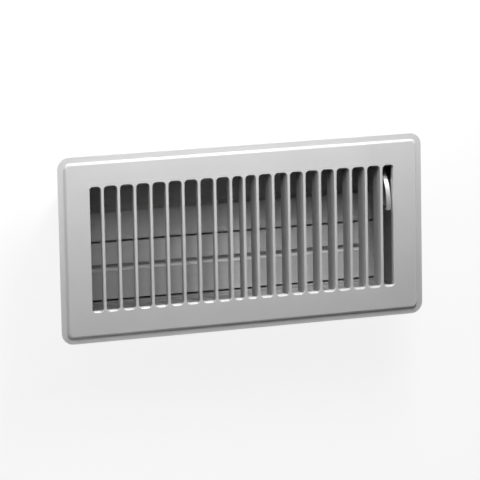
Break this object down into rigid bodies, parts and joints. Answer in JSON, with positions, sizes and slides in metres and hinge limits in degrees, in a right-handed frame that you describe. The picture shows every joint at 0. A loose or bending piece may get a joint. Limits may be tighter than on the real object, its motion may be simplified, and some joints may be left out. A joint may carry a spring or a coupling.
{
  "type": "floor register",
  "caption": "Pressed-steel floor register: raised face with outward-fanned fins, a shallow can, and a bladed damper worked by a thumb lever in the end slot.",
  "frame": {"origin": "centre of the face, in the plane of the flange underside that lies on the floor", "axes": "+Z out of the face, +X along the register towards the lever's end, +Y across it towards the side of the closed lever"},
  "size_m": [0.2922, 0.1396, 0.0476],
  "materials": {
    "face_paint": "satin baked enamel",
    "can_paint": "thin satin enamel",
    "blade_paint": "thin satin enamel",
    "bright_plate": "bright plated",
    "rivet_steel": "plain steel"
  },
  "bodies": {
    "register": {"face_grille": "face_paint", "can_side_rear": "can_paint", "can_side_front": "can_paint", "can_end_left": "can_paint", "can_end_right": "can_paint", "pivot_rivet_left_rear": "rivet_steel", "pivot_rivet_left_front": "rivet_steel", "pivot_rivet_right_rear": "rivet_steel", "pivot_rivet_right_front": "rivet_steel", "friction_washer": "rivet_steel"},
    "rear_blade": {"damper_blade_rear": "blade_paint", "thumb_lever": "bright_plate", "lever_rivets": "rivet_steel", "link_pin_rear": "rivet_steel"},
    "front_blade": {"damper_blade_front": "blade_paint", "link_pin_front": "rivet_steel"},
    "link": {"link_bar": "rivet_steel"}
  },
  "joints": [
    {"name": "rear_blade_hinge", "type": "hinge", "parent": "register", "child": "rear_blade", "pos_m": [0, 0.02475, -0.0337], "axis": [1, 0, 0], "range_deg": [0, 78]},
    {"name": "front_blade_hinge", "type": "hinge", "parent": "register", "child": "front_blade", "pos_m": [0, -0.01995, -0.0337], "axis": [1, 0, 0], "range_deg": [0, 78]},
    {"name": "link_hinge", "type": "hinge", "parent": "rear_blade", "child": "link", "pos_m": [0.1225, 0.01972, -0.03992], "axis": [1, 0, 0], "range_deg": [-78, 0]}
  ],
  "couplings": [
    {"joint": "front_blade_hinge", "follows": "rear_blade_hinge", "ratio": 1},
    {"joint": "link_hinge", "follows": "rear_blade_hinge", "ratio": -1}
  ]
}
